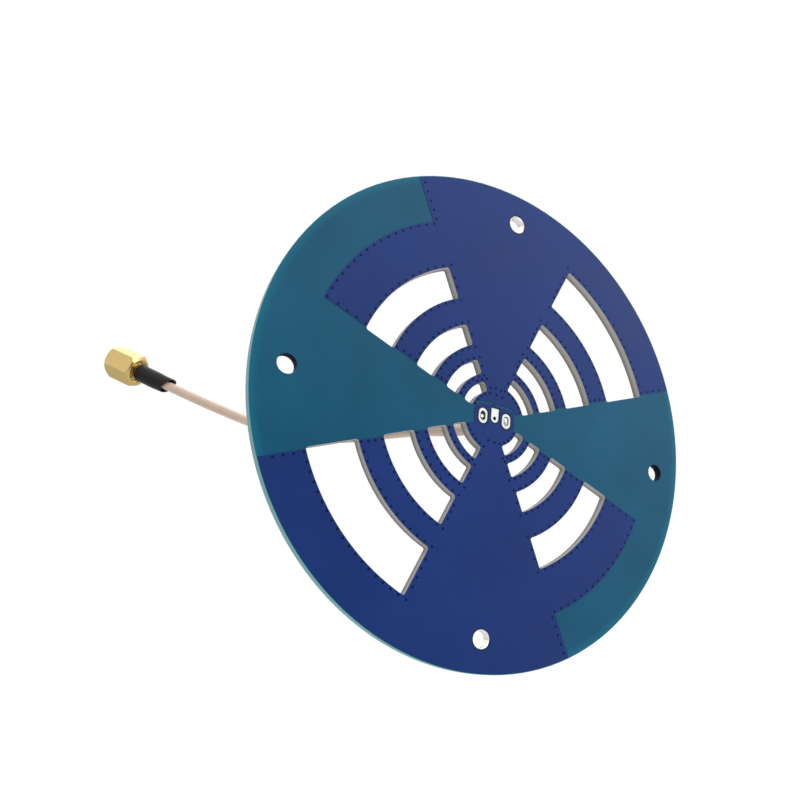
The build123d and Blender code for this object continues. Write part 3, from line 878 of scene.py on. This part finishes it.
class ANTENNA_OT_feed(bpy.types.Operator):
    """Models the solder joints, the twisted shield leads and the woven braid at the feed"""

    bl_idname = "antenna.wire_feed"
    bl_label = "Feed joints"

    def execute(self, context):
        feed, colours = context.scene.antenna_feed, context.scene.antenna_colours
        solder = metal_finish("soft_solder", colours.solder, 0.36, grain=1800, grain_height=0.00003)
        silver = metal_finish("silvered_copper_wire", colours.silver, 0.3, grain=4000, grain_height=0.00001)
        ground = (feed.hole_width, feed.hole_height)
        centre = (feed.centre_hole, feed.centre_hole)
        self.joint(solder, "left_solder", GROUND_SKIRT, -feed.pad_pitch, ground, HOLLOW_SOLDER)
        self.joint(solder, "right_solder", GROUND_SKIRT, feed.pad_pitch, ground, DOMED_SOLDER)
        self.joint(solder, "centre_solder", CENTRE_SKIRT, 0, centre, CENTRE_SOLDER)
        turned_solder(COLLAR, 0, steps=48)
        finished_piece("braid_solder_collar", solder, replaced="braid_solder")
        # a brown film in the left-hand pad, and painted shade in the centre pad: a near-black cup deep in its
        # hole that stands in for the hole's shadow
        hole_filling(*ground, FLUX_FILM, -feed.pad_pitch)
        brown = plastic_finish("brown_flux", colours.flux, 0.3, grain=2500, grain_height=0.00001, coat=0.5)
        finished_piece("left_pad_flux", brown)
        hole_filling(*centre, CENTRE_HOLE_SHADE, 0)
        dark = plastic_finish(
            "dark_flux", shade(colours.flux, 0.08), 0.5, grain=2500, grain_height=0.00001, shine=0.1
        )
        finished_piece("centre_pad_flux", dark)
        self.braid(feed, silver)
        for side, node in ((-1, "left_shield_lead"), (1, "right_shield_lead")):
            self.lead(feed, silver, side, node)
        coat_nodes(("feed_braid", "feed_conductor"), silver)
        white = plastic_finish(
            "cable_insulation", colours.insulation, 0.45, grain=2500, grain_height=0.000006, inner=0.3
        )
        coat_nodes(("feed_dielectric",), white)
        return {"FINISHED"}

    def joint(self, solder, node, skirt, x, hole, steps):
        """A filled pad with a solder skirt that rises round its lead."""
        join([hole_filling(*hole, steps, x), turned_solder(skirt, x)])
        finished_piece(node + "_joint", solder, replaced=node)

    def braid(self, feed, silver):
        """Braid wires wound both ways round the stripped end of the cable."""
        ways = []
        for way in (1, -1):
            # the wires of one way lie a little below those of the other
            radius = feed.braid_radius - 0.2 * feed.wire_radius * (1 + way)
            pitch = feed.braid_length / feed.braid_turns
            turns = way * feed.braid_turns
            wire = helix(radius, feed.wire_radius, feed.braid_start, pitch, turns, steps=14, sides=6)
            spin = [Matrix.Rotation(2 * math.pi * step / feed.wires, 4, "Z") for step in range(feed.wires)]
            ways.append(copied(wire, [out_of_back(0, 0) @ turn for turn in spin]))
        join(ways)
        finished_piece("woven_braid", silver)

    def lead(self, feed, silver, side, node):
        """Braid wires twisted to a lead, bent over into a ground pad."""
        corners = 36
        outline, lobes = new_spline("lead_outline", "POLY", "2D", corners)
        for step, point in enumerate(lobes.points):
            angle = 2 * math.pi * step / corners
            lobe = 0.84 + 0.16 * abs(math.cos(3 * angle))
            point.co = (*polar(feed.lead_radius * lobe, angle), 0, 1)
        lobes.use_cyclic_u = True
        path, spline = new_spline("lead_path", "NURBS", "3D", len(LEAD_BEND))
        twist = 0.0
        for step, (point, (x, y)) in enumerate(zip(spline.points, LEAD_BEND)):
            if step:
                twist += math.dist(LEAD_BEND[step - 1], LEAD_BEND[step]) * feed.lead_twist
            point.co = (side * x * MM, y * MM, 0, 1)
            point.tilt = twist
        path.data.bevel_mode = "OBJECT"
        path.data.bevel_object = outline
        activate(path)
        bpy.ops.object.convert(target="MESH")
        bpy.data.objects.remove(outline)
        finished_piece("twisted_" + node, silver, replaced=node, smooth=45)


class ANTENNA_OT_plug(bpy.types.Operator):
    """Coats the plug and its shrink tube and cuts the nut's thread"""

    bl_idname = "antenna.dress_plug"
    bl_label = "Plug"

    def execute(self, context):
        colours = context.scene.antenna_colours
        gold = turned_metal_finish("gold_plated_brass", colours.gold, 0.26)
        self.threaded_nut(context, gold)
        for node in ("plug_body", "crimp_ferrule", "centre_pin"):
            softened("turned_" + node, node, gold, width=0.00005)
        bronze = turned_metal_finish("spring_bronze", colours.bronze, 0.3)
        softened("sprung_ring", "retaining_ring", bronze, width=0.00005)
        white = plastic_finish(
            "white_insulator", colours.insulator, 0.5, grain=2000, grain_height=0.000006, inner=0.3
        )
        coat_nodes(("insulator", "plug_dielectric"), white)
        silver = metal_finish("silvered_plug_wire", colours.silver, 0.3, grain=4000, grain_height=0.00001)
        coat_nodes(("crimped_braid", "plug_conductor"), silver)
        rubber = plastic_finish("red_silicone", colours.gasket, 0.55, grain=1500, grain_height=0.000008)
        softened("soft_gasket", "gasket", rubber, width=0.00015, segments=3)
        black = plastic_finish(
            "shrink_tube", colours.shrink, 0.45, grain=900, grain_height=0.00003, shine=0.22
        )
        softened("shrunk_tube", "heat_shrink", black, width=0.00012, segments=3)
        return {"FINISHED"}

    def threaded_nut(self, context, gold):
        """The nut with eased edges and its inner thread cut by a helical cutter."""
        cable = context.scene.antenna_cable
        flats, radius = 72, cable.thread_radius
        start, length, pitch = cable.thread_start, cable.thread_length, cable.thread_pitch
        thread = helix(radius, cable.thread_depth, start, pitch, round(length / pitch), steps=flats, sides=4)
        # the bore gets the thread's own flats first, so that each flank stays one clean strip
        deselect_all()
        bpy.ops.mesh.primitive_cylinder_add(
            vertices=flats,
            radius=radius / math.cos(math.pi / flats) + cable.thread_reaming,
            depth=length,
            location=(0, 0, start + length / 2),
        )
        bpy.ops.object.transform_apply(location=True, rotation=True, scale=True)
        reamer = active()
        eased_copy("coupling_nut", width=0.00012, segments=3)
        for cutter in (reamer, thread):
            cutter.matrix_world = plug_place
            context.view_layer.update()
            apply_modifier("BOOLEAN", operation="DIFFERENCE", solver="EXACT", object=cutter)
            bpy.data.objects.remove(cutter)
        finished_piece("threaded_nut", gold, "coupling_nut", body="nut", flat_faces=True)


class ANTENNA_OT_cable(bpy.types.Operator):
    """Lays the coaxial cable on one smooth spline"""

    bl_idname = "antenna.lay_cable"
    bl_label = "Cable"

    def execute(self, context):
        cable, colours = context.scene.antenna_cable, context.scene.antenna_colours
        piece, spline = new_spline("pigtail_cable", "NURBS", "3D", len(cable_route))
        for point, place in zip(spline.points, cable_route):
            point.co = (*place, 1)
        piece.data.bevel_depth = cable.diameter / 2
        piece.data.bevel_resolution = 8
        piece.data.resolution_u = 24
        piece.data.materials.append(jacket_finish(colours, cable))
        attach(piece, "antenna")
        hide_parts("coax_cable")
        return {"FINISHED"}


class ANTENNA_OT_stage(bpy.types.Operator):
    """Sets up the camera, the floor, the backdrop and the soft lights"""

    bl_idname = "antenna.set_stage"
    bl_label = "Stage"

    def execute(self, context):
        scene, stage = context.scene, context.scene.antenna_stage
        scene.camera = self.camera(scene, stage)
        self.floor(stage)
        self.lamps(scene, stage)
        scene.world = self.surroundings(stage)
        scene.view_settings.view_transform = "Standard"
        return {"FINISHED"}

    def camera(self, scene, stage):
        """The camera, turned so that its own axes are those of the photo."""
        camera = bpy.data.cameras.new("photo_camera")
        camera.sensor_width = 36
        camera.lens = stage.lens
        camera.shift_y = stage.lens_shift
        camera.clip_start = 0.005
        camera.clip_end = 20
        holder = bpy.data.objects.new("photo_camera", camera)
        scene.collection.objects.link(holder)
        right, up = Vector(CAMERA_RIGHT), Vector(CAMERA_UP)
        axes = Matrix((right, up, right.cross(up).normalized())).transposed().to_4x4()
        holder.matrix_world = Matrix.Translation(CAMERA_PLACE) @ axes
        return holder

    def floor(self, stage):
        """White paper whose own glow, for the camera alone, makes up for the falling light of the lamps."""
        deselect_all()
        bpy.ops.mesh.primitive_plane_add(size=30, location=(0, 0, 0))
        floor = active()
        floor.name = "studio_floor"
        floor.data.transform(Matrix.Translation((0, 0, -stage.floor_drop)))
        paper = Finish("white_paper", (0.8, 0.8, 0.8), roughness=0.9)
        paper.bump(paper.noise(400, 3), distance=0.0001, strength=0.2)
        far = paper.spread(from_middle(paper, (1, 1, 0)), 0.15, 0.7, stage.floor_glow, 1)
        seen = paper.add("LightPath").outputs["Is Camera Ray"]
        glow = paper.add("Emission", {"Strength": paper.calc("MULTIPLY", seen, far)})
        both = paper.add("AddShader", {0: paper.shader.outputs["BSDF"], 1: glow.outputs["Emission"]})
        paper.give(paper.output.inputs["Surface"], both.outputs["Shader"])
        floor.data.materials.append(paper.material)

    def lamps(self, scene, stage):
        """Three large soft lamps that face the board."""
        for name, place, size, power in (
            ("key_light", (0.22, -0.4, 0.5), 0.6, stage.key_power),
            ("fill_light", (0.7, -0.5, 0.1), 0.7, stage.fill_power),
            ("back_light", (-0.3, 0.7, 0.7), 0.8, stage.fill_power),
        ):
            lamp = bpy.data.lights.new(name, "AREA")
            lamp.size = size
            lamp.energy = power
            light = bpy.data.objects.new(name, lamp)
            scene.collection.objects.link(light)
            light.location = place
            aim = Vector((0, 0.03, 0)) - Vector(place)
            light.rotation_euler = aim.to_track_quat("-Z", "Y").to_euler()

    def surroundings(self, stage):
        """A white room: bright to the camera, in reflections and through glass, and dimmer as a light."""
        world = bpy.data.worlds.new("studio")
        world.use_nodes = True
        tree = NodeTree(world.node_tree)
        sky = tree.nodes["Background"]
        tree.give(sky.inputs["Color"], (1, 1, 1))
        tree.give(sky.inputs["Strength"], stage.sky)
        white = tree.add("Background", {"Color": (1, 1, 1)})
        rays = tree.add("LightPath").outputs
        seen = rays["Is Camera Ray"]
        for ray in ("Is Glossy Ray", "Is Transmission Ray"):
            seen = tree.calc("MAXIMUM", seen, rays[ray])
        shaders = {1: sky.outputs["Background"], 2: white.outputs["Background"]}
        blend = tree.add("MixShader", {"Fac": seen, **shaders})
        tree.give(tree.nodes["World Output"].inputs["Surface"], blend.outputs["Shader"])
        return world


class ANTENNA_PT_panel(bpy.types.Panel):
    """Lists the antenna's pieces in the order in which they are made"""

    bl_label = "Antenna"
    bl_idname = "ANTENNA_PT_panel"
    bl_space_type = "VIEW_3D"
    bl_region_type = "UI"
    bl_category = "Antenna"

    def draw(self, context):
        for name, group in GROUPS:
            box = self.layout.box()
            for setting in group.__annotations__:
                box.prop(getattr(context.scene, name), setting)
        for operator in OPERATORS:
            self.layout.operator(operator.bl_idname)


# Registration


GROUPS = (
    ("antenna_pattern", ANTENNA_PG_pattern),
    ("antenna_feed", ANTENNA_PG_feed),
    ("antenna_cable", ANTENNA_PG_cable),
    ("antenna_colours", ANTENNA_PG_colours),
    ("antenna_stage", ANTENNA_PG_stage),
)
OPERATORS = (
    ANTENNA_OT_stage,
    ANTENNA_OT_plug,
    ANTENNA_OT_cable,
    ANTENNA_OT_board,
    ANTENNA_OT_stitching,
    ANTENNA_OT_linings,
    ANTENNA_OT_feed,
)


def register():
    for name, group in GROUPS:
        bpy.utils.register_class(group)
        setattr(bpy.types.Scene, name, PointerProperty(type=group))
    for operator in OPERATORS:
        bpy.utils.register_class(operator)
    bpy.utils.register_class(ANTENNA_PT_panel)


def unregister():
    bpy.utils.unregister_class(ANTENNA_PT_panel)
    for operator in reversed(OPERATORS):
        bpy.utils.unregister_class(operator)
    for name, group in reversed(GROUPS):
        delattr(bpy.types.Scene, name)
        bpy.utils.unregister_class(group)


def main():
    register()
    bpy.ops.antenna.set_stage()
    bpy.ops.antenna.dress_plug()
    bpy.ops.antenna.lay_cable()
    bpy.ops.antenna.coat_board()
    bpy.ops.antenna.add_stitching()
    bpy.ops.antenna.line_holes()
    bpy.ops.antenna.wire_feed()


if __name__ == "__main__":
    main()
